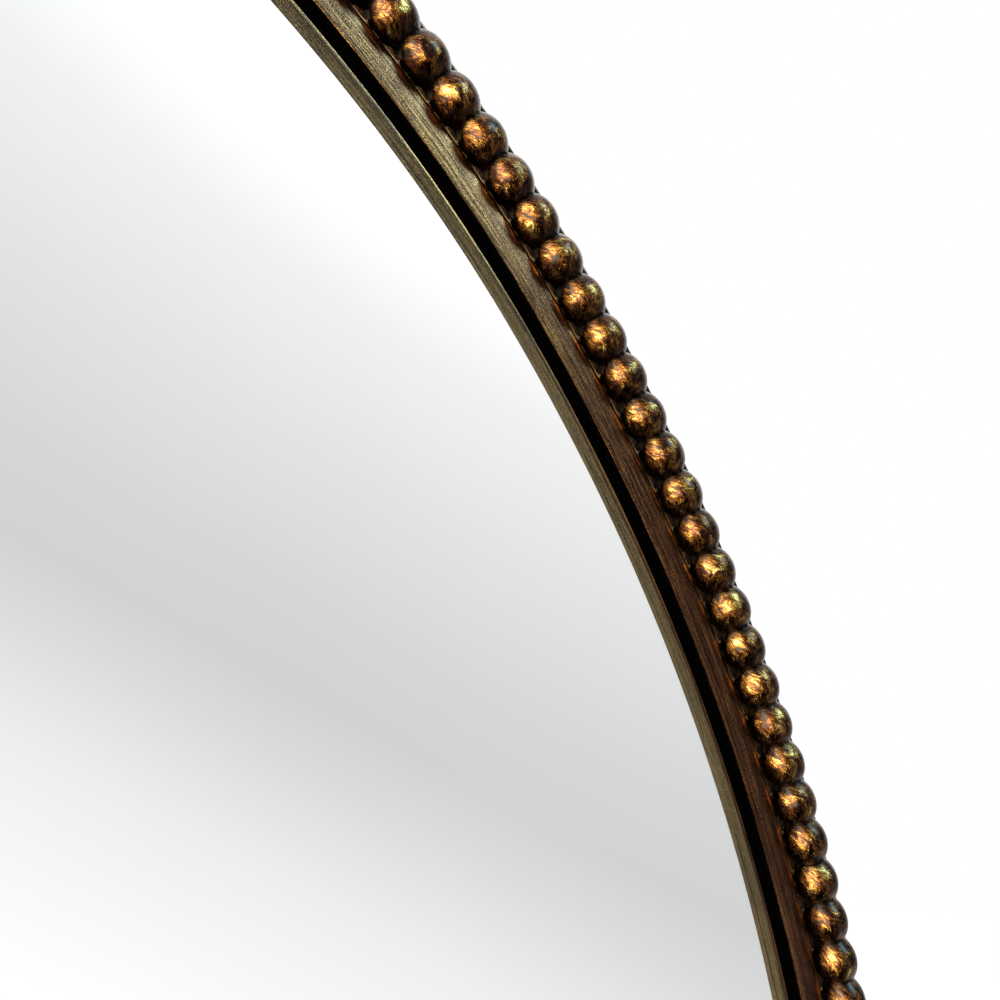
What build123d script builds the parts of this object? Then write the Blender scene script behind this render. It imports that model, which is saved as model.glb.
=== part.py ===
from build123d import *
import math
import os

# Oval wall mirror: a moulded frame with a flat band, a black shadow groove and a strand of
# beads, a loose liner ring that frames the glass, and a back that comes off for reglazing.
# X points right, Z points up and the front faces -Y. The wall is the plane y = 0, and the
# origin lies on it, behind the middle of the oval. All sizes are in millimetres.

# Oval. Every ring follows one reference line, the flat band's inner edge.
HALF_WIDTH = 248.7
HALF_HEIGHT = 363.7
ARC_JOINTS = (0.0, 18.0, 36.0, 60.0, 90.0)   # outward normal where two arcs meet, degrees
CURVATURE_SAMPLES = 200

# Frame section. Offsets run outwards from the reference line, heights from the wall.
WALL_GAP = 5.0
FRAME_DEPTH = 16.0
FACE = WALL_GAP + FRAME_DEPTH
BAND_WIDTH = 6.9
BAND_EDGE = 0.4
SEAT_DROP = 2.3
SEAT_START = 7.7
SEAT_END = 17.9
RIM_RISE = 0.9
RIM_FOOT = 18.6
RIM_OUTER = 19.5
LIP_THICKNESS = 2.45
REBATE_WALL = 3.0

# Strand of beads, one length to each quarter of the oval
BEADS_PER_QUARTER = 45
BEAD_LINE = 13.0
BEAD_RADIUS = 5.45
BEAD_RISE = 2.2
BELLY_HALF = 0.27        # half length of a bead's full part, as a share of the pitch
NECK_SCALE = 0.60        # size of the web between two beads against the full section
BELLY_ANGLES = (-12.0, 52.0, 128.0, 192.0)

# Liner ring between the frame and the glass
GROOVE_WIDTH = 3.5
NOSE_DROP = 0.95
NOSE_WIDTH = 1.1
NOSE_FLARE = 0.35
FLANGE_THICKNESS = 1.2
FLANGE_EDGE = 2.5

# Glass, pads and backing board
GLASS_THICKNESS = 4.0
GLASS_EDGE = 2.0
BOARD_THICKNESS = 5.0
BOARD_EDGE = 2.2
BOARD_RECESS = 0.1
PAD_LENGTH = 30.0
PAD_WIDTH = 10.0
PAD_LINE = -10.0
PADS_PER_QUARTER = 2

# Turn buttons that hold the board in
BUTTON_COUNT = 6
BUTTON_LINE = 9.0
BUTTON_WIDTH = 9.0
BUTTON_REACH = 14.0
BUTTON_TAIL = 5.0
BUTTON_THICKNESS = 1.2
BUTTON_CORNER = 2.2
BUTTON_HOLE_RADIUS = 1.65
BUTTON_PLAY = 0.1

# Hangers: a strap with a rolled knuckle, and a D-shaped wire ring that swings in it
HANGER_TURN = 16.5       # outward normal of the oval at the strap's middle, degrees
HANGER_LINE = 11.2
STRAP_WIDTH = 12.0
STRAP_THICKNESS = 0.9
STRAP_TO_PIVOT = 20.0
STRAP_TAIL = 22.0
STRAP_CORNER = 3.0
STRAP_HOLE_RADIUS = 2.1
STRAP_SCREWS = (22.0, 35.0)   # below the pivot
PIVOT_HEIGHT = 2.45           # above the frame's back
KNUCKLE_RADIUS = 2.15
KNUCKLE_BORE = 1.25
WIRE_RADIUS = 1.2
RING_HALF_WIDTH = 11.2
RING_SHOULDER = 4.0
RING_CORNER = 3.0
RING_BOW_RUNS = 6

# Fasteners and wall bumpers. Screws, their holes and the ring's wire are many-sided bars.
ROUND_SIDES = 8
HANGER_SHANK_RADIUS = 1.7
HANGER_SHANK_LENGTH = 12.0
HANGER_HEAD_RADIUS = 3.5
HANGER_HEAD_HEIGHT = 1.8
BUTTON_SHANK_RADIUS = 1.6
BUTTON_SHANK_LENGTH = 10.0
BUTTON_HEAD_RADIUS = 3.2
BUTTON_HEAD_HEIGHT = 1.7
BUMPER_RADIUS = 6.0
BUMPER_SIDES = 16
BUMPER_TURN = 68.0
BUMPER_LINE = 11.0

GLASS_FRONT = FACE - LIP_THICKNESS - FLANGE_THICKNESS
GLASS_BACK = GLASS_FRONT - GLASS_THICKNESS
BOARD_BACK = WALL_GAP + BOARD_RECESS
BOARD_FRONT = BOARD_BACK + BOARD_THICKNESS
SEAT = FACE - SEAT_DROP


def ellipse_radius(turn):
    """Radius of curvature of the ellipse where its outward normal has this turn."""
    side = (HALF_WIDTH * math.cos(turn)) ** 2 + (HALF_HEIGHT * math.sin(turn)) ** 2
    return (HALF_WIDTH * HALF_HEIGHT) ** 2 / side ** 1.5


def mean_radius(start, end):
    """Mean radius of curvature of the ellipse between two turns in degrees."""
    step = (end - start) / CURVATURE_SAMPLES
    turns = [math.radians(start + step * (index + 0.5)) for index in range(CURVATURE_SAMPLES)]
    return sum(ellipse_radius(turn) for turn in turns) / CURVATURE_SAMPLES


def quarter_arcs():
    """Tangent arcs of the upper right quarter, as (centre x, centre z, radius, start, end).

    The middle arcs take the ellipse's own mean curvature, and the first and the last are
    solved so that the chain meets both axes square."""
    spans = list(zip(ARC_JOINTS[:-1], ARC_JOINTS[1:]))
    across = [math.cos(math.radians(start)) - math.cos(math.radians(end)) for start, end in spans]
    upward = [math.sin(math.radians(end)) - math.sin(math.radians(start)) for start, end in spans]
    middle = [mean_radius(start, end) for start, end in spans[1:-1]]
    width_left = HALF_WIDTH - sum(r * a for r, a in zip(middle, across[1:-1]))
    height_left = HALF_HEIGHT - sum(r * u for r, u in zip(middle, upward[1:-1]))
    determinant = across[0] * upward[-1] - across[-1] * upward[0]
    first = (width_left * upward[-1] - height_left * across[-1]) / determinant
    last = (height_left * across[0] - width_left * upward[0]) / determinant
    arcs = []
    centre_x, centre_z, previous = HALF_WIDTH - first, 0.0, first
    for radius, (start, end) in zip([first, *middle, last], spans):
        centre_x += (previous - radius) * math.cos(math.radians(start))
        centre_z += (previous - radius) * math.sin(math.radians(start))
        arcs.append((centre_x, centre_z, radius, start, end))
        previous = radius
    return arcs


def oval_arcs():
    """The whole oval as sixteen arcs, anticlockwise from three o'clock as seen from the front."""
    quarter = quarter_arcs()
    arcs = list(quarter)
    arcs += [(-x, z, r, 180 - end, 180 - start) for x, z, r, start, end in reversed(quarter)]
    arcs += [(-x, -z, r, 180 + start, 180 + end) for x, z, r, start, end in quarter]
    arcs += [(x, -z, r, 360 - end, 360 - start) for x, z, r, start, end in reversed(quarter)]
    return arcs


ARCS = oval_arcs()
ARCS_PER_QUARTER = len(ARCS) // 4


def line_length(offset, arcs=ARCS):
    """Length of the line that runs at this offset along the given arcs."""
    return sum((r + offset) * math.radians(end - start) for x, z, r, start, end in arcs)


def at_distance(distance, offset, arcs=ARCS):
    """Arc and outward normal at a distance along the line at this offset."""
    for arc in arcs:
        x, z, radius, start, end = arc
        turn = start + math.degrees(distance / (radius + offset))
        if turn <= end or arc == arcs[-1]:
            return arc, turn
        distance -= (radius + offset) * math.radians(end - start)


def at_turn(turn):
    """Arc that holds this outward normal, in degrees."""
    return next(arc for arc in ARCS if turn <= arc[4])


def on_oval(arc, turn, offset, height):
    """Point at an offset from the reference line and a height above the wall."""
    x, z, radius = arc[:3]
    reach = radius + offset
    angle = math.radians(turn)
    return Vector(x + reach * math.cos(angle), -height, z + reach * math.sin(angle))


def bench(arc, turn, offset, height):
    """Plane for a fitting: x outwards, y clockwise as seen from the front, z to the wall."""
    angle = math.radians(turn)
    outward = (math.cos(angle), 0, math.sin(angle))
    return Plane(origin=on_oval(arc, turn, offset, height), x_dir=outward, z_dir=(0, 1, 0))


def ring(section):
    """Ring of one closed section, turned about the centre of each arc in its stretch."""
    parts = []
    for x, z, radius, start, end in ARCS:
        angle = math.radians(start)
        face_normal = (math.sin(angle), 0, -math.cos(angle))
        plane = Plane(origin=(x, 0, z), x_dir=(math.cos(angle), 0, math.sin(angle)), z_dir=face_normal)
        points = [(radius + offset, height) for offset, height in section]
        face = plane * make_face(Polyline(*points, close=True))
        parts.append(revolve(face, axis=Axis((x, 0, z), (0, -1, 0)), revolution_arc=end - start))
    return parts[0].fuse(*parts[1:]).clean()


def oval_plate(edge, back, front):
    """Flat plate with the oval's outline at an offset, between two heights."""
    edges = []
    for arc in ARCS:
        start, end = arc[3:]
        ends = [on_oval(arc, turn, edge, back) for turn in (start, (start + end) / 2, end)]
        edges.append(ThreePointArc(*ends))
    return extrude(make_face(Wire(edges)), amount=front - back, dir=(0, -1, 0))


def outer_frame():
    """Wooden frame: flat band, bead seat, outer rim and a rebate for the glass behind."""
    section = [
        (0.0, FACE),
        (BAND_WIDTH - BAND_EDGE, FACE),
        (SEAT_START, SEAT),
        (SEAT_END, SEAT),
        (RIM_FOOT, FACE + RIM_RISE),
        (RIM_OUTER, FACE + RIM_RISE),
        (RIM_OUTER, WALL_GAP),
        (REBATE_WALL, WALL_GAP),
        (REBATE_WALL, FACE - LIP_THICKNESS),
        (0.0, FACE - LIP_THICKNESS),
    ]
    return ring(section)


def liner():
    """Loose ring: its flange lies between lip and glass, its nose stands up by the groove."""
    nose_top = FACE - NOSE_DROP
    nose_back = -GROOVE_WIDTH
    nose_front = nose_back - NOSE_WIDTH
    section = [
        (nose_back, FACE - LIP_THICKNESS),
        (nose_back, nose_top),
        (nose_front, nose_top),
        (nose_front - NOSE_FLARE, GLASS_FRONT),
        (FLANGE_EDGE, GLASS_FRONT),
        (FLANGE_EDGE, FACE - LIP_THICKNESS),
    ]
    return ring(section)


def strand_outline():
    """Outline across a full bead, as (across, above the seat): a flat foot and four corners."""
    drop = BEAD_RISE + SEAT_DROP
    foot_half = math.sqrt(BEAD_RADIUS ** 2 - drop ** 2)
    angles = [math.radians(degrees) for degrees in BELLY_ANGLES]
    crown = BEAD_RADIUS * max(math.sin(angle) for angle in angles)
    outline = [(foot_half, 0.0)]
    for angle in angles:
        up = BEAD_RADIUS * math.sin(angle)
        lifted = up * BEAD_RADIUS / crown if up > 0 else up
        outline.append((BEAD_RADIUS * math.cos(angle), lifted + drop))
    outline.append((-foot_half, 0.0))
    return outline


def strand_corners(arc, turn, scale):
    """Corners of the strand's section at one place, shrunk towards the middle of its foot."""
    return [
        on_oval(arc, turn, BEAD_LINE + across * scale, SEAT + rise * scale)
        for across, rise in strand_outline()
    ]


def facet(*corners):
    """Flat face through its corners."""
    return Face(Wire.make_polygon(corners, close=True))


def bead_strand(quarter):
    """A quarter of the oval in beads: full sections with narrow webs between them.

    Each bead is a barrel of flat facets, which keeps the long strand light."""
    first = quarter * ARCS_PER_QUARTER
    arcs = ARCS[first:first + ARCS_PER_QUARTER]
    pitch = line_length(BEAD_LINE, arcs) / BEADS_PER_QUARTER
    stations = [(0.0, NECK_SCALE)]
    for bead in range(BEADS_PER_QUARTER):
        middle = (bead + 0.5) * pitch
        stations.append((middle - BELLY_HALF * pitch, 1.0))
        stations.append((middle + BELLY_HALF * pitch, 1.0))
        stations.append(((bead + 1) * pitch, NECK_SCALE))
    sections = [
        strand_corners(*at_distance(distance, BEAD_LINE, arcs), scale)
        for distance, scale in stations
    ]
    facets = [facet(*sections[0]), facet(*sections[-1])]
    for near, far in zip(sections[:-1], sections[1:]):
        for index in range(len(near)):
            before = index - 1
            facets.append(facet(near[before], near[index], far[index]))
            facets.append(facet(near[before], far[index], far[before]))
    return Solid(Shell(facets))


def cushion_pads():
    """Foam pads that press the glass against the liner."""
    pads = []
    pad_count = 4 * PADS_PER_QUARTER
    spacing = line_length(PAD_LINE) / pad_count
    thickness = GLASS_BACK - BOARD_FRONT
    for index in range(pad_count):
        arc, turn = at_distance((index + 0.5) * spacing, PAD_LINE)
        plane = bench(arc, turn, PAD_LINE, GLASS_BACK)
        pads.append(plane * Pos(0, 0, thickness / 2) * Box(PAD_WIDTH, PAD_LENGTH, thickness))
    return Compound(children=pads)


def round_hole(radius):
    """Small hole with few sides, none of them nearer its middle than the radius."""
    return RegularPolygon(radius, ROUND_SIDES, major_radius=False)


def screw(shank_radius, shank_length, head_radius, head_height):
    """Screw with its head's underside at height 0 and its shank going down."""
    shank = extrude(RegularPolygon(shank_radius, ROUND_SIDES), amount=-shank_length)
    head = extrude(RegularPolygon(head_radius, ROUND_SIDES), amount=head_height)
    return head + shank


def button_planes():
    """Where the turn buttons stand on the frame's back, evenly from three o'clock."""
    spacing = line_length(BUTTON_LINE) / BUTTON_COUNT
    planes = []
    for index in range(BUTTON_COUNT):
        arc, turn = at_distance(index * spacing, BUTTON_LINE)
        planes.append(bench(arc, turn, BUTTON_LINE, WALL_GAP))
    return planes


def turn_button(plane):
    """Thin plate whose tongue reaches inwards over the board."""
    length = BUTTON_REACH + BUTTON_TAIL
    outline = Pos((BUTTON_TAIL - BUTTON_REACH) / 2, 0) * Rectangle(length, BUTTON_WIDTH)
    outline = chamfer(outline.vertices(), BUTTON_CORNER)
    plate = extrude(outline - round_hole(BUTTON_HOLE_RADIUS), amount=BUTTON_THICKNESS)
    return plane * plate


def button_screws():
    """Screws the buttons turn on, left with a little play over the plate."""
    one = screw(BUTTON_SHANK_RADIUS, BUTTON_SHANK_LENGTH, BUTTON_HEAD_RADIUS, BUTTON_HEAD_HEIGHT)
    lift = BUTTON_THICKNESS + BUTTON_PLAY
    return Compound(children=[plane * Pos(0, 0, lift) * one for plane in button_planes()])


def strap_plane(side):
    """Middle of a hanger strap on the frame's back: x outwards, y down along the frame."""
    turn = HANGER_TURN if side == "right" else 180 - HANGER_TURN
    return bench(at_turn(turn), turn, HANGER_LINE, WALL_GAP)


def down_sign(side):
    """Sign of the bench's y that points down the frame."""
    return -1 if strap_plane(side).y_dir.Z > 0 else 1


def hanger_strap(side):
    """Strap with two screw holes, rolled at its upper end round the ring's bar."""
    down = down_sign(side)
    length = STRAP_TO_PIVOT + STRAP_TAIL
    plate = Pos(0, down * (STRAP_TAIL - STRAP_TO_PIVOT) / 2) * Rectangle(STRAP_WIDTH, length)
    tail = plate.vertices().sort_by(Axis.Y)[-2:] if down > 0 else plate.vertices().sort_by(Axis.Y)[:2]
    plate = chamfer(tail, STRAP_CORNER)
    for drop in STRAP_SCREWS:
        plate -= Pos(0, down * (drop - STRAP_TO_PIVOT)) * round_hole(STRAP_HOLE_RADIUS)
    strap = extrude(plate, amount=STRAP_THICKNESS)
    across = Pos(0, -down * STRAP_TO_PIVOT, PIVOT_HEIGHT) * Rot(0, 90, 0)
    strap += across * Cylinder(KNUCKLE_RADIUS, STRAP_WIDTH)
    strap -= across * Cylinder(KNUCKLE_BORE, STRAP_WIDTH)
    return strap_plane(side) * strap


def ring_path(down):
    """Centre line of the D: a straight bar, two short corners and a bowed end."""
    points = [(RING_HALF_WIDTH - RING_CORNER, 0.0), (RING_HALF_WIDTH, RING_CORNER)]
    for step in range(RING_BOW_RUNS + 1):
        angle = math.pi * step / RING_BOW_RUNS
        across = RING_HALF_WIDTH * math.cos(angle)
        points.append((across, RING_SHOULDER + RING_HALF_WIDTH * math.sin(angle)))
    points += [(-RING_HALF_WIDTH, RING_CORNER), (RING_CORNER - RING_HALF_WIDTH, 0.0)]
    return Polyline(*[(x, down * y) for x, y in points], close=True)


def hanger_ring(side):
    """Wire ring, hanging down over its strap."""
    down = down_sign(side)
    path = ring_path(down)
    start = path.edges()[0] @ 0
    tangent = path.edges()[0] % 0
    wire = sweep(Plane(origin=start, z_dir=tangent) * RegularPolygon(WIRE_RADIUS, ROUND_SIDES), path=path, transition=Transition.RIGHT)
    return strap_plane(side) * Pos(0, -down * STRAP_TO_PIVOT, PIVOT_HEIGHT) * wire


def hanger_screw_places():
    """Benches of the four strap screws."""
    places = []
    for side in ("right", "left"):
        for drop in STRAP_SCREWS:
            shift = down_sign(side) * (drop - STRAP_TO_PIVOT)
            places.append(strap_plane(side) * Pos(0, shift, STRAP_THICKNESS))
    return places


def hanger_screws():
    """Screws that hold the straps, heads down on the metal."""
    shank = HANGER_SHANK_LENGTH
    one = screw(HANGER_SHANK_RADIUS, shank, HANGER_HEAD_RADIUS, HANGER_HEAD_HEIGHT)
    return Compound(children=[place * one for place in hanger_screw_places()])


def wall_bumpers():
    """Rubber feet that hold the frame off the wall."""
    feet = []
    for turn in (BUMPER_TURN, 180 - BUMPER_TURN, 180 + BUMPER_TURN, 360 - BUMPER_TURN):
        plane = bench(at_turn(turn), turn, BUMPER_LINE, WALL_GAP)
        feet.append(plane * extrude(RegularPolygon(BUMPER_RADIUS, BUMPER_SIDES), amount=WALL_GAP))
    return Compound(children=feet)


def write(name, shape):
    """Write one sub-part under its node's name."""
    shape.label = name
    export_step(shape, f"parts/{name}.step")
    box = shape.bounding_box()
    print(f"{name:28s} {shape.volume:12.1f} mm3  y {box.min.Y:.2f} to {box.max.Y:.2f}")


def main():
    os.makedirs("parts", exist_ok=True)
    screws_for_straps = hanger_screws()
    screws_for_buttons = button_screws()
    write("outer_frame", outer_frame() - screws_for_straps - screws_for_buttons)
    for quarter, name in enumerate(("upper_right", "upper_left", "lower_left", "lower_right")):
        write(f"bead_strand_{name}", bead_strand(quarter))
    write("inner_liner", liner())
    write("mirror_glass", oval_plate(GLASS_EDGE, GLASS_BACK, GLASS_FRONT))
    write("glass_cushion_pads", cushion_pads())
    write("backing_board", oval_plate(BOARD_EDGE, BOARD_BACK, BOARD_FRONT))
    for side in ("left", "right"):
        write(f"hanger_strap_{side}", hanger_strap(side))
        write(f"hanger_ring_{side}", hanger_ring(side))
    write("hanger_screws", screws_for_straps)
    for number, plane in enumerate(button_planes(), start=1):
        write(f"turn_button_{number}", turn_button(plane))
        print("button pivot", number, plane.origin)
    write("turn_button_screws", screws_for_buttons)
    write("wall_bumpers", wall_bumpers())
    for side in ("left", "right"):
        plane = strap_plane(side)
        pivot = plane * Pos(0, -down_sign(side) * STRAP_TO_PIVOT, PIVOT_HEIGHT)
        print("ring pivot", side, pivot.position, "axis", plane.x_dir)


main()
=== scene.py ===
import math

import bpy
from mathutils import Matrix, Vector, noise

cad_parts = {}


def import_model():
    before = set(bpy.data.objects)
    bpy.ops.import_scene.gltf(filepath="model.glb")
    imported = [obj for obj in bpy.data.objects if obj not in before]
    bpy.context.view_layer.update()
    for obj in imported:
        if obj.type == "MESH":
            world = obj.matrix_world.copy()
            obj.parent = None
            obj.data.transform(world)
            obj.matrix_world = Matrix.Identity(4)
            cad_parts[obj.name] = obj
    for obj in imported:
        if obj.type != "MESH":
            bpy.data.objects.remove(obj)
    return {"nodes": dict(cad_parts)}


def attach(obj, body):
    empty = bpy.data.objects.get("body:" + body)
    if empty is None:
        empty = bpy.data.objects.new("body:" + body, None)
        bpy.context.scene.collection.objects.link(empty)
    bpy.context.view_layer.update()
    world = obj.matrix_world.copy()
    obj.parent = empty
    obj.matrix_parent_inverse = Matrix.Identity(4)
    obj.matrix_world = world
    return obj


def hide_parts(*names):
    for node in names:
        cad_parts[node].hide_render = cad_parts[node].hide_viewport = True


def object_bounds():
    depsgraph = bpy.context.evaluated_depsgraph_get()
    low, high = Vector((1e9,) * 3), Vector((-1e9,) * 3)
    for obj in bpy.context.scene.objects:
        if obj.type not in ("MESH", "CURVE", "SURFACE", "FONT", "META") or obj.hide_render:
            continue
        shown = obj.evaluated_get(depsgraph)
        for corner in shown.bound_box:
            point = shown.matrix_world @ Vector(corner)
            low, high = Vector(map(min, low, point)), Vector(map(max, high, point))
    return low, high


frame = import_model()
CAD_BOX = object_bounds()

# All section sizes are in millimetres, as offsets outwards from the flat band's inner edge and
# heights above the wall, and MM turns them into the scene's metres.
MM = 0.001

# Oval
HALF_WIDTH = 248.7
HALF_HEIGHT = 363.7
ARC_JOINTS = (0.0, 18.0, 36.0, 60.0, 90.0)
CURVATURE_SAMPLES = 200
RING_STEPS = 960

# Frame section. The rim stops 0.1 short of the solid's, which keeps the piece inside the CAD model's box.
WALL_GAP = 5.0
FACE = 21.0
BAND_OUTER = 6.9
SEAT = FACE - 2.3
SEAT_START = 7.7
SEAT_END = 17.9
RIM_FOOT = 18.6
RIM_OUTER = 19.4
RIM_TOP = FACE + 0.9
LIP = 2.45
REBATE_WALL = 3.0

# Liner, glass and back
GROOVE_WIDTH = 3.5
NOSE_TOP = FACE - 0.95
NOSE_WIDTH = 1.1
NOSE_FLARE = 0.35
FLANGE = 1.2
GLASS_FRONT = FACE - LIP - FLANGE
GLASS_BACK = GLASS_FRONT - 4.0
GLASS_EDGE = 2.0
FLANGE_EDGE = 2.5
BOARD_BACK = WALL_GAP + 0.1
BOARD_FRONT = BOARD_BACK + 5.0
BOARD_EDGE = 2.2

# Beads
BEADS_PER_QUARTER = 45
BEAD_LINE = 13.0
BEAD_RADIUS = 5.42
BEAD_LENGTH = 6.9
BEAD_CENTRE = FACE + 2.2
BEAD_STEPS = 22
BEAD_SIDES = 26
NECK_SHARE = 0.56
NECK_BLEND = 0.06
BASE_HALF = 4.75
BASE_RISE = 0.75
BASE_EDGE = 0.3
# Height over the seat within which painted shade darkens the bead's leaf at its foot
FOOT_SHADE = 2.4
BEAD_SAG = 0.35

# Camera, solved from the curves of the groove and the beads in the photograph
CAMERA_PLACE = Vector((100.0, -208.3, 126.1)) * MM
CAMERA_FACING = 28.09
CAMERA_TILT = -2.23
CAMERA_ROLL = -15.48
CAMERA_LENS = 32.4
SENSOR_WIDTH = 36.0


def ellipse_radius(turn):
    """Radius of curvature of the ellipse where its outward normal has this turn."""
    side = (HALF_WIDTH * math.cos(turn)) ** 2 + (HALF_HEIGHT * math.sin(turn)) ** 2
    return (HALF_WIDTH * HALF_HEIGHT) ** 2 / side ** 1.5


def mean_radius(start, end):
    """Mean radius of curvature of the ellipse between two turns in degrees."""
    step = (end - start) / CURVATURE_SAMPLES
    turns = [math.radians(start + step * (index + 0.5)) for index in range(CURVATURE_SAMPLES)]
    return sum(ellipse_radius(turn) for turn in turns) / CURVATURE_SAMPLES


def quarter_arcs():
    """Tangent arcs of the upper right quarter, as (centre x, centre z, radius, start, end)."""
    spans = list(zip(ARC_JOINTS[:-1], ARC_JOINTS[1:]))
    across = [math.cos(math.radians(start)) - math.cos(math.radians(end)) for start, end in spans]
    upward = [math.sin(math.radians(end)) - math.sin(math.radians(start)) for start, end in spans]
    middle = [mean_radius(start, end) for start, end in spans[1:-1]]
    width_left = HALF_WIDTH - sum(r * a for r, a in zip(middle, across[1:-1]))
    height_left = HALF_HEIGHT - sum(r * u for r, u in zip(middle, upward[1:-1]))
    determinant = across[0] * upward[-1] - across[-1] * upward[0]
    first = (width_left * upward[-1] - height_left * across[-1]) / determinant
    last = (height_left * across[0] - width_left * upward[0]) / determinant
    arcs = []
    centre_x, centre_z, previous = HALF_WIDTH - first, 0.0, first
    for radius, (start, end) in zip([first, *middle, last], spans):
        centre_x += (previous - radius) * math.cos(math.radians(start))
        centre_z += (previous - radius) * math.sin(math.radians(start))
        arcs.append((centre_x, centre_z, radius, start, end))
        previous = radius
    return arcs


def oval_arcs():
    """The whole oval as sixteen arcs, anticlockwise from three o'clock as seen from the front."""
    quarter = quarter_arcs()
    arcs = list(quarter)
    arcs += [(-x, z, r, 180 - end, 180 - start) for x, z, r, start, end in reversed(quarter)]
    arcs += [(-x, -z, r, 180 + start, 180 + end) for x, z, r, start, end in quarter]
    arcs += [(x, -z, r, 360 - end, 360 - start) for x, z, r, start, end in reversed(quarter)]
    return arcs


ARCS = oval_arcs()


def line_length(offset, arcs):
    """Length of the line that runs at this offset along the given arcs."""
    return sum((r + offset) * math.radians(end - start) for _, _, r, start, end in arcs)


def at_distance(distance, offset, arcs):
    """Arc and outward normal, in radians, at a distance along the line at this offset."""
    for arc in arcs:
        radius, start, end = arc[2:]
        turn = start + math.degrees(distance / (radius + offset))
        if turn <= end or arc == arcs[-1]:
            return arc, math.radians(turn)
        distance -= (radius + offset) * math.radians(end - start)


def on_oval(arc, turn, offset, height):
    """Point in metres at an offset from the reference line and a height above the wall."""
    x, z, radius = arc[:3]
    reach = radius + offset
    return Vector((x + reach * math.cos(turn), -height, z + reach * math.sin(turn))) * MM


OVAL_LENGTH = line_length(0.0, ARCS)


def flow_point(distance, across):
    """Texture coordinate that runs along the ring without a seam: x and y go round a drum."""
    angle = 2 * math.pi * distance / OVAL_LENGTH
    drum = OVAL_LENGTH / (2 * math.pi)
    return (drum * math.cos(angle) * MM, drum * math.sin(angle) * MM, across * MM)


def finish_mesh(name, points, faces, slots=None, flow=None, floats=None, sharp=40.0):
    """Mesh object with smooth shading, material slots per face and named point attributes."""
    mesh = bpy.data.meshes.new(name)
    mesh.from_pydata(points, [], faces)
    if slots:
        mesh.polygons.foreach_set("material_index", slots)
    if flow:
        layer = mesh.attributes.new("flow", "FLOAT_VECTOR", "POINT")
        layer.data.foreach_set("vector", [value for point in flow for value in point])
    for title, values in (floats or {}).items():
        layer = mesh.attributes.new(title, "FLOAT", "POINT")
        layer.data.foreach_set("value", values)
    mesh.validate()
    mesh.shade_smooth()
    mesh.set_sharp_from_angle(angle=math.radians(sharp))
    piece = bpy.data.objects.new(name, mesh)
    bpy.context.scene.collection.objects.link(piece)
    return piece


def dress(piece, node, body, materials):
    """Give a piece its materials, its body and the node that it stands for."""
    for material in materials:
        piece.data.materials.append(material)
    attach(piece, body)
    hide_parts(node)
    return piece


def rounded(corners, steps=3):
    """Section from (offset, height, radius, slot, wear): each corner is rounded by its radius.

    Returns points as (offset, height, wear) and the slot of the run that follows each point."""
    outline, slots = [], []
    count = len(corners)
    for index, (offset, height, radius, slot, wear) in enumerate(corners):
        here = Vector((offset, height))
        before = Vector(corners[index - 1][:2]) - here
        after = Vector(corners[(index + 1) % count][:2]) - here
        if radius <= 0:
            outline.append((offset, height, wear))
            slots.append(slot)
            continue
        reach = min(radius, before.length * 0.45, after.length * 0.45)
        start = here + before.normalized() * reach
        end = here + after.normalized() * reach
        for step in range(steps + 1):
            share = step / steps
            blend = (1 - share) ** 2, 2 * share * (1 - share), share ** 2
            point = start * blend[0] + here * blend[1] + end * blend[2]
            outline.append((point.x, point.y, wear))
            slots.append(slot)
    return outline, slots


def ring_mesh(name, corners, sharp=50.0):
    """Closed ring of a rounded section, with the flow and wear attributes for its finish."""
    section, run_slots = rounded(corners)
    count = len(section)
    across = [0.0]
    for first, second in zip(section, section[1:]):
        across.append(across[-1] + math.dist(first[:2], second[:2]))
    points, flow, wear, faces, slots = [], [], [], [], []
    spacing = OVAL_LENGTH / RING_STEPS
    for step in range(RING_STEPS):
        arc, turn = at_distance(step * spacing, 0.0, ARCS)
        for (offset, height, worn), width in zip(section, across):
            points.append(on_oval(arc, turn, offset, height))
            flow.append(flow_point(step * spacing, width))
            wear.append(worn)
        following = (step + 1) % RING_STEPS
        for index in range(count):
            nearby = (index + 1) % count
            faces.append((step * count + index, following * count + index,
                          following * count + nearby, step * count + nearby))
            slots.append(run_slots[index])
    return finish_mesh(name, points, faces, slots, flow, {"wear": wear}, sharp)


def oval_slab(name, edge, back, front, slot_front=0, slot_back=0, slot_side=0):
    """Flat plate with the oval's outline at an offset, between two heights."""
    points, faces, slots, flow = [], [], [], []
    spacing = OVAL_LENGTH / RING_STEPS
    for height in (front, back):
        for step in range(RING_STEPS):
            arc, turn = at_distance(step * spacing, 0.0, ARCS)
            point = on_oval(arc, turn, edge, height)
            points.append(point)
            flow.append((point.x, point.z, point.y))
    faces.append(tuple(range(RING_STEPS)))
    faces.append(tuple(reversed(range(RING_STEPS, 2 * RING_STEPS))))
    slots += [slot_front, slot_back]
    for step in range(RING_STEPS):
        following = (step + 1) % RING_STEPS
        faces.append((following, step, RING_STEPS + step, RING_STEPS + following))
        slots.append(slot_side)
    return finish_mesh(name, points, faces, slots, flow, None, 30.0)


def bead_profile(share, jitter):
    """Radius of the strand at a share of the pitch from a bead's middle, from 0 to 0.5."""
    reach = share * PITCH / BEAD_LENGTH
    full = math.sqrt(max(1.0 - reach * reach, 0.0))
    mixed = 0.5 * (full + NECK_SHARE + math.sqrt((full - NECK_SHARE) ** 2 + NECK_BLEND ** 2))
    crown = 0.5 * (1 + NECK_SHARE + math.sqrt((1 - NECK_SHARE) ** 2 + NECK_BLEND ** 2))
    return BEAD_RADIUS * mixed / crown * jitter


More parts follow.
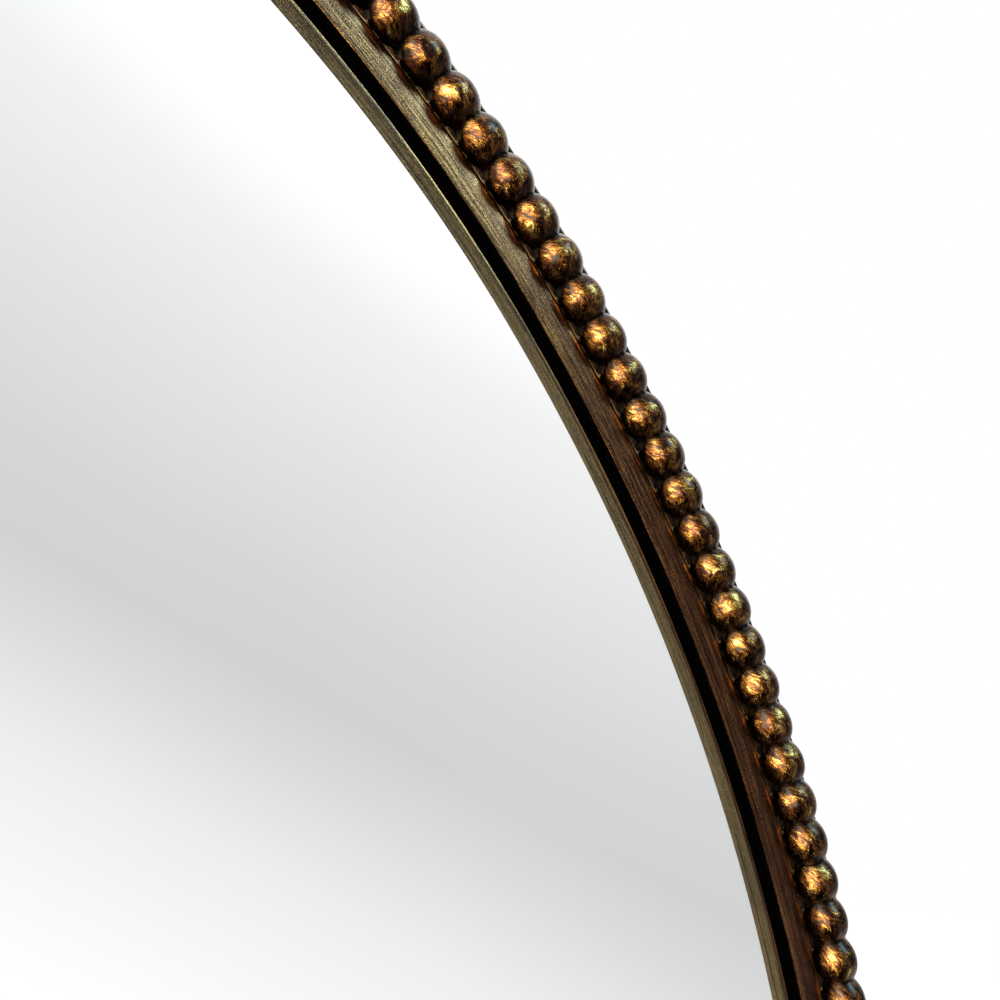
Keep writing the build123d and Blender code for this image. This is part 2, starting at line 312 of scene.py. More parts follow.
# Colours of the bead's leaf, from its dark ground to the bare gold
BEAD_LEAF = [
    (0.43, (0.003, 0.002, 0.002)),
    (0.48, (0.024, 0.006, 0.002)),
    (0.52, (0.085, 0.026, 0.005)),
    (0.57, (0.200, 0.100, 0.020)),
    (0.64, (0.500, 0.375, 0.150)),
]

QUARTER_ARCS = len(ARCS) // 4
PITCH = line_length(BEAD_LINE, ARCS[:QUARTER_ARCS]) / BEADS_PER_QUARTER


def strand_section(radius, crown_drop):
    """Outline across the strand, as (across, height above the seat) from one foot to the other."""
    centre = BEAD_CENTRE - SEAT - crown_drop
    outline = [(BASE_HALF, 0.0), (BASE_HALF, BASE_RISE - BASE_EDGE), (BASE_HALF - BASE_EDGE, BASE_RISE)]
    for step in range(5):
        height = BASE_RISE + (centre - BASE_RISE) * (step + 0.4) / 5
        side = math.sqrt(max(radius ** 2 - (centre - height) ** 2, 0.0))
        outline.append((max(side, radius * 0.86), height))
    for step in range(BEAD_SIDES + 1):
        angle = math.pi * step / BEAD_SIDES
        outline.append((radius * math.cos(angle), centre + radius * math.sin(angle)))
    left = [(-across, height) for across, height in reversed(outline[:8])]
    return outline + left


def bead_strand(name, quarter):
    """A quarter of the oval in round beads joined by rounded webs, on a thin base strip."""
    arcs = ARCS[quarter * QUARTER_ARCS:(quarter + 1) * QUARTER_ARCS]
    points, flow, faces, slots, tone, recess = [], [], [], [], [], []
    count = len(strand_section(1.0, 0.0))
    rows = 0
    start = quarter * OVAL_LENGTH / 4
    scale = OVAL_LENGTH / 4 / line_length(BEAD_LINE, arcs)
    for bead in range(BEADS_PER_QUARTER):
        place = Vector((bead * 7.31, quarter * 3.17, 0.5))
        jitter = 0.988 + 0.012 * noise.noise(place)
        for step in range(BEAD_STEPS + (1 if bead == BEADS_PER_QUARTER - 1 else 0)):
            share = -0.5 + step / BEAD_STEPS
            share = 0.5 * math.sin(math.pi * share) * 0.55 + share * 0.45
            radius = bead_profile(abs(share), 1.0 - (1.0 - jitter) * math.cos(math.pi * share) ** 2)
            distance = (bead + 0.5 + share) * PITCH
            arc, turn = at_distance(distance, BEAD_LINE, arcs)
            drop = BEAD_SAG * (1 - math.cos(math.pi * share))
            around = 0.0
            previous = None
            for across, rise in strand_section(radius, drop):
                points.append(on_oval(arc, turn, BEAD_LINE + across, SEAT + rise))
                if previous:
                    around += math.dist(previous, (across, rise))
                previous = (across, rise)
                flow.append(flow_point(start + distance * scale, around))
                tone.append(0.5 + 0.5 * noise.noise(place * 1.7))
                # The recess level rises in the necks between beads and near the foot; it drives painted shade with
                # dark patina on the leaf
                shrink = 1.0 - radius / BEAD_RADIUS
                foot = max(0.0, 1.0 - rise / FOOT_SHADE)
                recess.append(min(1.0, shrink / (1.0 - NECK_SHARE) + foot))
            rows += 1
    for row in range(rows - 1):
        for index in range(count - 1):
            first = row * count + index
            faces.append((first, first + count, first + count + 1, first + 1))
            slots.append(1 if index < 2 or index > count - 4 else 0)
        faces.append((row * count + count - 1, (row + 1) * count + count - 1, (row + 1) * count, row * count))
        slots.append(1)
    faces.append(tuple(range(count)))
    faces.append(tuple(reversed(range((rows - 1) * count, rows * count))))
    slots += [1, 1]
    levels = {"tone": tone, "recess": recess, "wear": recess}
    return finish_mesh(name, points, faces, slots, flow, levels, 55.0)


def node(tree, kind, inputs=None, **settings):
    """New shader node. Inputs are sockets to link or values to set, by name or by number."""
    made = tree.nodes.new(kind)
    for key, value in settings.items():
        setattr(made, key, value)
    for key, value in (inputs or {}).items():
        socket = made.inputs[key]
        if isinstance(value, bpy.types.NodeSocket):
            tree.links.new(value, socket)
        else:
            socket.default_value = value
    return made


def math_node(tree, operation, first, second=0.0, clamp=False):
    """Result of a plain sum on sockets or numbers."""
    made = node(tree, "ShaderNodeMath", {0: first, 1: second}, operation=operation, use_clamp=clamp)
    return made.outputs[0]


def weighted(tree, *parts):
    """Sum of several values, each times its share."""
    total = None
    for value, share in parts:
        part = math_node(tree, "MULTIPLY", value, share)
        total = part if total is None else math_node(tree, "ADD", total, part)
    return total


def centred(tree, value, strength):
    """How far a value is from a half, times a strength."""
    return math_node(tree, "MULTIPLY", math_node(tree, "SUBTRACT", value, 0.5), strength)


def ramp(tree, value, stops):
    """Colour ramp with stops as (place, colour or grey)."""
    made = node(tree, "ShaderNodeValToRGB", {0: value})
    band = made.color_ramp
    while len(band.elements) < len(stops):
        band.elements.new(0.5)
    for element, (place, colour) in zip(band.elements, stops):
        element.position = place
        element.color = (colour,) * 3 + (1.0,) if isinstance(colour, (int, float)) else (*colour, 1.0)
    return made.outputs[0]


def mix(tree, share, first, second):
    """Mix of two colours."""
    made = node(tree, "ShaderNodeMix", data_type="RGBA")
    for key, value in ((0, share), (6, first), (7, second)):
        if isinstance(value, bpy.types.NodeSocket):
            tree.links.new(value, made.inputs[key])
        elif key == 0:
            made.inputs[key].default_value = value
        else:
            made.inputs[key].default_value = (*value, 1.0)
    return made.outputs[2]


def stretched(tree, coordinates, along, across):
    """Coordinates whose pattern is drawn out along the ring."""
    made = node(tree, "ShaderNodeVectorMath", {0: coordinates, 1: (along, along, across)}, operation="MULTIPLY")
    return made.outputs[0]


def noise_value(tree, coordinates, scale, detail=4.0, rough=0.55, distortion=0.0):
    """Value of a noise texture."""
    inputs = {"Vector": coordinates, "Scale": scale, "Detail": detail, "Roughness": rough, "Distortion": distortion}
    return node(tree, "ShaderNodeTexNoise", inputs).outputs[0]


def bump(tree, height, strength, distance):
    """Normal bent by a height."""
    return node(tree, "ShaderNodeBump", {"Height": height, "Strength": strength, "Distance": distance}).outputs[0]


def blank(name):
    """New material with an empty node tree."""
    material = bpy.data.materials.new(name)
    material.use_nodes = True
    tree = material.node_tree
    tree.nodes.clear()
    return material, tree


def surface(tree, inputs):
    """Principled shader joined to the output."""
    shader = node(tree, "ShaderNodeBsdfPrincipled", inputs)
    output = node(tree, "ShaderNodeOutputMaterial")
    tree.links.new(shader.outputs[0], output.inputs[0])
    return shader


def chosen(tree, share, first, second):
    """The first shader, or the second where the share is 1."""
    return node(tree, "ShaderNodeMixShader", {0: share, 1: first, 2: second}).outputs[0]


def background(tree, colour, strength):
    """Background shader of a colour and a strength."""
    return node(tree, "ShaderNodeBackground", {"Color": colour, "Strength": strength}).outputs[0]


def flow_of(tree):
    """The ring's own coordinates."""
    return node(tree, "ShaderNodeAttribute", attribute_name="flow").outputs["Vector"]


def level_of(tree, name):
    """A float attribute of the mesh."""
    return node(tree, "ShaderNodeAttribute", attribute_name=name).outputs["Fac"]


def bronze_lacquer(name, dark, warm, pale, gold, rough=0.34, metallic=0.85, shine=0.5):
    """Bronze lacquer, brushed along the ring and rubbed back to copper where it is worn."""
    material, tree = blank(name)
    flow = flow_of(tree)
    wear = level_of(tree, "wear")
    long_streaks = noise_value(tree, stretched(tree, flow, 24.0, 2400.0), 1.0, 5.0, 0.60)
    fine_streaks = noise_value(tree, stretched(tree, flow, 130.0, 7500.0), 1.0, 4.0, 0.60)
    speckle = noise_value(tree, stretched(tree, flow, 3600.0, 5600.0), 1.0, 3.0, 0.62)
    cloud = noise_value(tree, stretched(tree, flow, 50.0, 300.0), 1.0, 3.0, 0.5)
    streaks = weighted(tree, (long_streaks, 0.30), (fine_streaks, 0.26))
    grain = math_node(tree, "ADD", streaks, math_node(tree, "MULTIPLY", speckle, 0.44))
    base = ramp(tree, grain, [(0.45, dark), (0.50, warm), (0.56, pale)])
    worn = math_node(tree, "ADD", wear, centred(tree, grain, 4.0))
    drift = centred(tree, cloud, 0.8)
    rubbed = ramp(tree, math_node(tree, "ADD", worn, drift), [(0.45, 0.0), (0.95, 1.0)])
    flecks = ramp(tree, speckle, [(0.62, 0.0), (0.74, 0.55)])
    gilt = math_node(tree, "MAXIMUM", flecks, rubbed, clamp=True)
    roughness = math_node(tree, "ADD", rough - 0.12, math_node(tree, "MULTIPLY", fine_streaks, 0.24))
    height = math_node(tree, "ADD", math_node(tree, "MULTIPLY", speckle, 0.4), streaks)
    surface(tree, {
        "Base Color": mix(tree, gilt, base, gold),
        "Metallic": metallic,
        "Roughness": roughness,
        "Specular IOR Level": shine,
        "Coat Weight": 0.05 if shine > 0.2 else 0.0,
        "Coat Roughness": 0.30,
        "Normal": bump(tree, height, 0.45, 0.00012),
    })
    return material


def groove_shade_black():
    """Painted shade: near-black that stands in for the deep shade in the groove, with rare dust specks."""
    material, tree = blank("groove_painted_shade")
    flow = flow_of(tree)
    dust = noise_value(tree, stretched(tree, flow, 2600.0, 2600.0), 1.0, 2.0, 0.5)
    specks = ramp(tree, dust, [(0.76, (0.0012, 0.0011, 0.0010)), (0.82, (0.06, 0.055, 0.05))])
    soft = noise_value(tree, stretched(tree, flow, 300.0, 900.0), 1.0, 3.0, 0.5)
    surface(tree, {
        "Base Color": specks,
        "Roughness": math_node(tree, "ADD", 0.75, math_node(tree, "MULTIPLY", soft, 0.2)),
        "Specular IOR Level": 0.0,
        "Normal": bump(tree, soft, 0.1, 0.0001),
    })
    return material


def rubbed_bead():
    """Bronze leaf in patches of black, brown and gold, under a thin clear lacquer."""
    material, tree = blank("rubbed_bead")
    flow = flow_of(tree)
    tone = level_of(tree, "tone")
    patches = noise_value(tree, stretched(tree, flow, 330.0, 430.0), 1.0, 6.0, 0.66, 0.8)
    strokes = noise_value(tree, stretched(tree, flow, 1100.0, 2600.0), 1.0, 5.0, 0.66, 0.5)
    pits = noise_value(tree, stretched(tree, flow, 3600.0, 4600.0), 1.0, 3.0, 0.62)
    shifted = math_node(tree, "ADD", patches, centred(tree, tone, 0.08))
    leaf = weighted(tree, (shifted, 0.55), (strokes, 0.30), (pits, 0.15))
    # Painted shade with dark patina: the leaf fades to near black in the necks between beads and at their foot by the
    # seat
    shade_and_patina = ramp(tree, level_of(tree, "recess"), [(0.25, 0.0), (0.95, 0.92)])
    colour = mix(tree, shade_and_patina, ramp(tree, leaf, BEAD_LEAF), (0.008, 0.005, 0.004))
    roughness = ramp(tree, strokes, [(0.35, 0.15), (0.65, 0.32)])
    height = weighted(tree, (strokes, 0.8), (pits, 0.6))
    surface(tree, {
        "Base Color": colour,
        "Metallic": 1.0,
        "Roughness": roughness,
        "Coat Weight": 0.12,
        "Coat Roughness": 0.20,
        "Normal": bump(tree, height, 0.6, 0.00018),
    })
    return material


def silver():
    """Silvered glass, seen from the front."""
    material, tree = blank("mirror_silver")
    place = node(tree, "ShaderNodeTexCoord").outputs["Object"]
    haze = noise_value(tree, place, 9.0, 3.0, 0.5)
    tint = ramp(tree, haze, [(0.3, (0.93, 0.94, 0.945)), (0.7, (0.95, 0.96, 0.96))])
    surface(tree, {"Base Color": tint, "Metallic": 1.0, "Roughness": 0.0})
    return material


def backing_paint():
    """Grey paint over the silver, on the back and edge of the glass."""
    return plain_finish("mirror_backing", (0.20, 0.22, 0.22), (0.28, 0.30, 0.30), 60.0, 0.55)


def plain_finish(name, low, high, scale, rough, metallic=0.0, grain=(1.0, 1.0, 1.0), relief=0.2, depth=0.0001):
    """Surface with a mottled colour, uneven gloss and fine relief, in object space."""
    material, tree = blank(name)
    place = node(tree, "ShaderNodeTexCoord").outputs["Object"]
    drawn = node(tree, "ShaderNodeVectorMath", {0: place, 1: grain}, operation="MULTIPLY").outputs[0]
    broad = noise_value(tree, drawn, scale, 5.0, 0.6)
    fine = noise_value(tree, drawn, scale * 7.0, 3.0, 0.6)
    both = weighted(tree, (broad, 0.6), (fine, 0.4))
    surface(tree, {
        "Base Color": ramp(tree, both, [(0.35, low), (0.65, high)]),
        "Metallic": metallic,
        "Roughness": math_node(tree, "ADD", rough - 0.1, math_node(tree, "MULTIPLY", both, 0.2)),
        "Normal": bump(tree, both, relief, depth),
    })
    return material


def outer_frame_piece():
    """The frame: groove wall, flat band, hollow, bead seat, rim, side and the raw back."""
    band, groove, hollow, rim, side, wood = range(6)
    corners = [
        (0.0, FACE - LIP, 0.0, groove, 0.0),
        (0.0, FACE - 0.35, 0.0, band, 0.0),
        (0.0, FACE, 0.35, band, 0.30),
        (BAND_OUTER - 1.1, FACE, 0.0, band, 0.12),
        (BAND_OUTER - 0.35, FACE, 0.0, band, 0.80),
        (BAND_OUTER, FACE - 0.12, 0.3, hollow, 0.55),
        (SEAT_START - 0.35, SEAT + 0.15, 0.5, hollow, 0.0),
        (SEAT_START + 0.3, SEAT, 0.3, hollow, 0.0),
        (SEAT_END, SEAT, 0.2, rim, 0.0),
        (RIM_FOOT, RIM_TOP - 0.1, 0.25, rim, 0.25),
        (RIM_OUTER, RIM_TOP, 0.35, side, 0.25),
        (RIM_OUTER, WALL_GAP, 0.8, side, 0.1),
        (REBATE_WALL + 1.0, WALL_GAP, 0.0, wood, 0.0),
        (REBATE_WALL, WALL_GAP, 0.3, wood, 0.0),
        (REBATE_WALL, FACE - LIP, 0.0, wood, 0.0),
    ]
    piece = ring_mesh("frame_body", corners)
    lacquer = bronze_lacquer("band_lacquer", (0.006, 0.0015, 0.001), (0.042, 0.0135, 0.005),
                             (0.125, 0.052, 0.020), (0.42, 0.19, 0.05), 0.27, 0.95)
    hollow_paint = bronze_lacquer("hollow_lacquer", (0.006, 0.006, 0.004), (0.018, 0.015, 0.009),
                                  (0.040, 0.030, 0.017), (0.20, 0.12, 0.05))
    rim_paint = bronze_lacquer("rim_lacquer", (0.010, 0.005, 0.003), (0.035, 0.016, 0.007),
                               (0.075, 0.036, 0.015), (0.30, 0.14, 0.05))
    side_paint = bronze_lacquer("side_lacquer", (0.010, 0.005, 0.003), (0.034, 0.015, 0.007),
                                (0.070, 0.034, 0.015), (0.30, 0.14, 0.05))
    fibre = plain_finish("raw_fibreboard", (0.20, 0.125, 0.070), (0.33, 0.22, 0.13), 260.0, 0.85,
                         relief=0.5, depth=0.0004)
    # The groove wall takes the near-black that stands in for the groove's deep shade (painted shade)
    return dress(piece, "outer_frame", "body",
                 [lacquer, groove_shade_black(), hollow_paint, rim_paint, side_paint, fibre])


def liner_piece():
    """The liner: groove floor and wall, worn nose, and the face down to the glass."""
    face, groove, wall = range(3)
    nose = -GROOVE_WIDTH
    corners = [
        (FLANGE_EDGE, FACE - LIP, 0.0, groove, 0.0),
        (nose, FACE - LIP, 0.25, groove, 0.0),
        (nose, NOSE_TOP - 0.22, 0.0, face, 1.0),
        (nose - 0.05, NOSE_TOP, 0.2, face, 0.85),
        (nose - NOSE_WIDTH, NOSE_TOP - 0.05, 0.25, wall, 0.10),
        (nose - NOSE_WIDTH - NOSE_FLARE, GLASS_FRONT + 0.08, 0.0, groove, 0.0),
        (nose - NOSE_WIDTH - NOSE_FLARE + 0.2, GLASS_FRONT, 0.0, groove, 0.0),
        (FLANGE_EDGE, GLASS_FRONT, 0.0, groove, 0.0),
    ]
    piece = ring_mesh("liner_ring", corners)
    lacquer = bronze_lacquer("liner_lacquer", (0.006, 0.003, 0.0015), (0.028, 0.012, 0.005),
                             (0.062, 0.030, 0.012), (0.22, 0.085, 0.022), 0.32)
    # The liner's inner wall takes a matt, paler and more olive copy of the liner lacquer, whose colour carries a
    # painted olive sheen
    wall_painted_sheen = bronze_lacquer("liner_wall_painted_sheen", (0.004, 0.0025, 0.0015), (0.024, 0.016, 0.008),
                                (0.078, 0.056, 0.030), (0.26, 0.10, 0.025), 0.50, 0.0, 0.05)
    # The groove floor and the liner's underside by the glass take the same near-black painted shade
    return dress(piece, "inner_liner", "body", [lacquer, groove_shade_black(), wall_painted_sheen])


def mirror_piece():
    """The mirror: a silvered face with a painted back and edge."""
    piece = oval_slab("mirror_pane", GLASS_EDGE, GLASS_BACK, GLASS_FRONT, 0, 1, 1)
    return dress(piece, "mirror_glass", "body", [silver(), backing_paint()])


# Fittings. A head is (radius, height).
PAD_LENGTH = 30.0
PAD_WIDTH = 10.0
PAD_LINE = -10.0
PAD_COUNT = 8
BUTTON_LINE = 9.0
BUTTON_COUNT = 6
BUTTON_TOP = 1.3
BUTTON_HEAD = (3.2, 1.7)
HANGER_TURN = 16.5
HANGER_LINE = 11.2
STRAP_TO_PIVOT = 20.0
STRAP_SCREWS = (22.0, 35.0)
STRAP_TOP = 0.9
PIVOT_HEIGHT = 2.45
HANGER_HEAD = (3.5, 1.8)
WIRE_RADIUS = 1.15
RING_HALF_WIDTH = 11.2
RING_SHOULDER = 4.0
RING_CORNER = 3.0
PLATE_BEVEL = 0.25
BUMPER_RADIUS = 6.0
BUMPER_TURN = 68.0
BUMPER_LINE = 11.0
ROUND_STEPS = 40


def bench(arc, turn, offset, height):
    """Frame of a fitting on the back: x outwards, y clockwise as seen from the front, z to the wall."""
    outward = Vector((math.cos(turn), 0, math.sin(turn)))
    back = Vector((0, 1, 0))
    sideways = back.cross(outward)
    place = Matrix((outward, sideways, back)).transposed().to_4x4()
    return Matrix.Translation(on_oval(arc, turn, offset, height)) @ place


def at_turn(degrees):
    """Arc that holds this outward normal."""
    return next(arc for arc in ARCS if degrees <= arc[4])


def place_mesh(name, parts, sharp=30.0):
    """One object from (points in millimetres, faces, slots, bench) of several like fittings."""
    points, faces, slots = [], [], []
    for part_points, part_faces, part_slots, frame_of_part in parts:
        start = len(points)
        points += [frame_of_part @ (Vector(point) * MM) for point in part_points]
        faces += [tuple(start + index for index in face) for face in part_faces]
        slots += part_slots
    return finish_mesh(name, points, faces, slots, None, None, sharp)


def turned(profile, steps=ROUND_STEPS):
    """Turned body from (radius, height) points, closed at both ends."""
    points, faces = [], []
    count = len(profile)
    for step in range(steps):
        angle = 2 * math.pi * step / steps
        points += [(radius * math.cos(angle), radius * math.sin(angle), height) for radius, height in profile]
    for step in range(steps):
        following = (step + 1) % steps
        for index in range(count - 1):
            faces.append((step * count + index, following * count + index,
                          following * count + index + 1, step * count + index + 1))
    faces.append(tuple(step * count + count - 1 for step in range(steps)))
    faces.append(tuple(step * count for step in reversed(range(steps))))
    return points, faces


def screw_head(radius, height):
    """Domed pan head with a cross recess, its underside at height 0."""
    rings = [(radius, 0.0), (radius, height * 0.30), (radius * 0.96, height * 0.52),
             (radius * 0.84, height * 0.76), (radius * 0.66, height * 0.92), (radius * 0.46, height * 0.99)]
    points, faces = turned(rings)
    faces.pop()
    faces.pop()
    count = len(rings)
    cross = []
    arm, half = radius * 0.46, radius * 0.11
    for step in range(ROUND_STEPS):
        angle = 2 * math.pi * step / ROUND_STEPS
        local = (angle + math.pi / 4) % (math.pi / 2) - math.pi / 4
        reach = min(arm * 0.98, half / max(abs(math.sin(local)), 0.05)) if abs(local) < 0.6 else half * 1.5
        cross.append((reach, angle))
    start = len(points)
    points += [(reach * math.cos(angle), reach * math.sin(angle), height) for reach, angle in cross]
    points += [(0.8 * reach * math.cos(angle), 0.8 * reach * math.sin(angle), height * 0.45)
               for reach, angle in cross]
    for step in range(ROUND_STEPS):
        following = (step + 1) % ROUND_STEPS
        faces.append((step * count + count - 1, following * count + count - 1, start + following, start + step))
        faces.append((start + step, start + following, start + ROUND_STEPS + following, start + ROUND_STEPS + step))
    faces.append(tuple(start + ROUND_STEPS + step for step in range(ROUND_STEPS)))
    return points, faces


def button_benches():
    """Where the turn buttons' screws stand."""
    spacing = line_length(BUTTON_LINE, ARCS) / BUTTON_COUNT
    return [bench(*at_distance(index * spacing, BUTTON_LINE, ARCS), BUTTON_LINE, WALL_GAP)
            for index in range(BUTTON_COUNT)]


def strap_bench(side):
    """Middle of a hanger strap and the sign of the bench's y that points down the frame."""
    degrees = HANGER_TURN if side == "right" else 180 - HANGER_TURN
    place = bench(at_turn(degrees), math.radians(degrees), HANGER_LINE, WALL_GAP)
    return place, -1 if place.col[1].z > 0 else 1


def zinc():
    """Bright zinc plate with faint draw lines."""
    return plain_finish("bright_zinc", (0.50, 0.49, 0.46), (0.72, 0.71, 0.68), 90.0, 0.34, 1.0,
                        (1.0, 1.0, 6.0), 0.25, 0.00005)


def screws(name, benches, head, lift, node_name, material):
    """All screws of one size: pan heads with a cross recess."""
    points, faces = screw_head(*head)
    parts = [(points, faces, [0] * len(faces), place @ Matrix.Translation((0, 0, lift * MM))) for place in benches]
    dress(place_mesh(name, parts, 35.0), node_name, "body", [material])


def ring_line(down, steps=8):
    """Centre line of the D ring: a straight bar, rounded corners and a bowed end."""
    half, corner = RING_HALF_WIDTH, RING_CORNER
    points = [(half * share, 0.0) for share in (-0.6, -0.2, 0.2, 0.6)]
    for step in range(steps + 1):
        angle = -math.pi / 2 + math.pi / 2 * step / steps
        points.append((half - corner + corner * math.cos(angle), corner + corner * math.sin(angle)))
    for step in range(4 * steps + 1):
        angle = math.pi * step / (4 * steps)
        points.append((half * math.cos(angle), RING_SHOULDER + half * math.sin(angle)))
    for step in range(steps + 1):
        angle = math.pi + math.pi / 2 * step / steps
        points.append((corner - half + corner * math.cos(angle), corner + corner * math.sin(angle)))
    return [Vector((x, down * y, 0.0)) for x, y in points]


def wire_ring(name, side, material):
    """Round wire bent to a D, on the pivot of its strap."""
    place, down = strap_bench(side)
    line = ring_line(down)
    points, faces, sides = [], [], 16
    count = len(line)
    for index, here in enumerate(line):
        along = (line[(index + 1) % count] - line[index - 1]).normalized()
        across = Vector((0, 0, 1)).cross(along)
        for step in range(sides):
            angle = 2 * math.pi * step / sides
            points.append(here + WIRE_RADIUS * (math.cos(angle) * across + math.sin(angle) * Vector((0, 0, 1))))
    for index in range(count):
        following = (index + 1) % count
        for step in range(sides):
            nearby = (step + 1) % sides
            faces.append((index * sides + step, following * sides + step,
                          following * sides + nearby, index * sides + nearby))
    pivot = place @ Matrix.Translation(Vector((0, -down * STRAP_TO_PIVOT, PIVOT_HEIGHT)) * MM)
    piece = place_mesh(name, [(points, faces, [0] * len(faces), pivot)], 60.0)
    dress(piece, f"hanger_ring_{side}", f"ring_{side}", [material])


def bumpers():
    """Domed rubber feet with a shallow dish."""
    profile = [(BUMPER_RADIUS * 0.98, 0.0), (BUMPER_RADIUS * 0.98, 0.5), (BUMPER_RADIUS * 0.90, 2.4),
               (BUMPER_RADIUS * 0.82, 3.9), (BUMPER_RADIUS * 0.72, 4.7), (BUMPER_RADIUS * 0.58, 5.0),
               (BUMPER_RADIUS * 0.40, 4.95), (BUMPER_RADIUS * 0.18, 4.7)]
    points, faces = turned(profile)
    parts = []
    for degrees in (BUMPER_TURN, 180 - BUMPER_TURN, 180 + BUMPER_TURN, 360 - BUMPER_TURN):
        place = bench(at_turn(degrees), math.radians(degrees), BUMPER_LINE, WALL_GAP)
        parts.append((points, faces, [0] * len(faces), place))
    rubber = plain_finish("black_rubber", (0.012, 0.012, 0.012), (0.030, 0.030, 0.030), 400.0, 0.62, relief=0.3)
    dress(place_mesh("rubber_feet", parts, 50.0), "wall_bumpers", "body", [rubber])


def rounded_pad(length, width, height, edge=0.9):
    """Foam block with its edges rounded and its sides slightly bulged by the squeeze."""
    points, faces = [], []
    layers = ((0.0, 0.9), (0.12, 0.3), (0.35, 0.0), (0.65, 0.0), (0.88, 0.3), (1.0, 0.9))
    corner_steps = 6
    for share, pull in layers:
        half_x, half_y = width / 2 - pull * edge * 0.6, length / 2 - pull * edge * 0.6
        for quadrant in range(4):
            for step in range(corner_steps + 1):
                angle = math.pi / 2 * (quadrant + step / corner_steps)
                sign_x = 1 if quadrant in (0, 3) else -1
                sign_y = 1 if quadrant in (0, 1) else -1
                points.append((sign_x * (half_x - edge) + edge * math.cos(angle),
                               sign_y * (half_y - edge) + edge * math.sin(angle), share * height))
    ring = 4 * (corner_steps + 1)
    for layer in range(len(layers) - 1):
        for index in range(ring):
            nearby = (index + 1) % ring
            faces.append((layer * ring + index, layer * ring + nearby,
                          (layer + 1) * ring + nearby, (layer + 1) * ring + index))
    faces.append(tuple(reversed(range(ring))))
    faces.append(tuple(range((len(layers) - 1) * ring, len(layers) * ring)))
    return points, faces


def pads():
    """Foam pads between the glass and the board."""
    points, faces = rounded_pad(PAD_LENGTH, PAD_WIDTH, GLASS_BACK - BOARD_FRONT)
    spacing = line_length(PAD_LINE, ARCS) / PAD_COUNT
    parts = []
    for index in range(PAD_COUNT):
        place = bench(*at_distance((index + 0.5) * spacing, PAD_LINE, ARCS), PAD_LINE, GLASS_BACK)
        parts.append((points, faces, [0] * len(faces), place))
    foam = plain_finish("grey_foam", (0.045, 0.045, 0.047), (0.120, 0.120, 0.125), 900.0, 0.9,
                        relief=0.8, depth=0.0003)
    piece = dress(place_mesh("foam_pads", parts, 50.0), "glass_cushion_pads", "body", [foam])


def board():
    """Brown fibreboard back with its screen-textured face to the wall."""
    piece = oval_slab("back_board", BOARD_EDGE, BOARD_BACK, BOARD_FRONT, 0, 0, 1)
    screen = plain_finish("fibreboard_back", (0.175, 0.095, 0.048), (0.265, 0.155, 0.085), 320.0, 0.72,
                          relief=0.5, depth=0.0003)
    cut = plain_finish("fibreboard_edge", (0.22, 0.14, 0.08), (0.32, 0.22, 0.13), 700.0, 0.9,
                       relief=0.6, depth=0.0003)
    return dress(piece, "backing_board", "body", [screen, cut])


def fittings():
    """Everything on the back: board, pads, hangers, buttons, screws and feet."""
    metal = zinc()
    board()
    pads()
    bumpers()
    screws("button_screw_heads", button_benches(), BUTTON_HEAD, BUTTON_TOP, "turn_button_screws", metal)
    benches = []
    for side in ("right", "left"):
        place, down = strap_bench(side)
        for drop in STRAP_SCREWS:
            shift = down * (drop - STRAP_TO_PIVOT) * MM
            benches.append(place @ Matrix.Translation((0, shift, 0)))
        wire_ring(f"wire_ring_{side}", side, metal)
    screws("hanger_screw_heads", benches, HANGER_HEAD, STRAP_TOP, "hanger_screws", metal)
    plate = plain_finish("zinc_plate", (0.46, 0.45, 0.42), (0.66, 0.65, 0.62), 70.0, 0.36, 1.0,
                         (1.0, 1.0, 8.0), 0.3)
    carried = [f"turn_button_{number}" for number in range(1, BUTTON_COUNT + 1)]
    for name in carried + ["hanger_strap_left", "hanger_strap_right"]:
        part = frame["nodes"][name]
        part.data.materials.clear()
        part.data.materials.append(plate)
        bevel = part.modifiers.new("eased_edges", "BEVEL")
        bevel.width = PLATE_BEVEL * MM
        bevel.segments = 2
        bevel.limit_method = "ANGLE"
        bevel.angle_limit = math.radians(40)


# Floor, in metres
FLOOR_GAP = 0.004
FLOOR_RADIUS = 0.85
FLOOR_SIDES = 96
FLOOR_FADE = (0.45, 0.84)
FLOOR_GLOW = 0.42


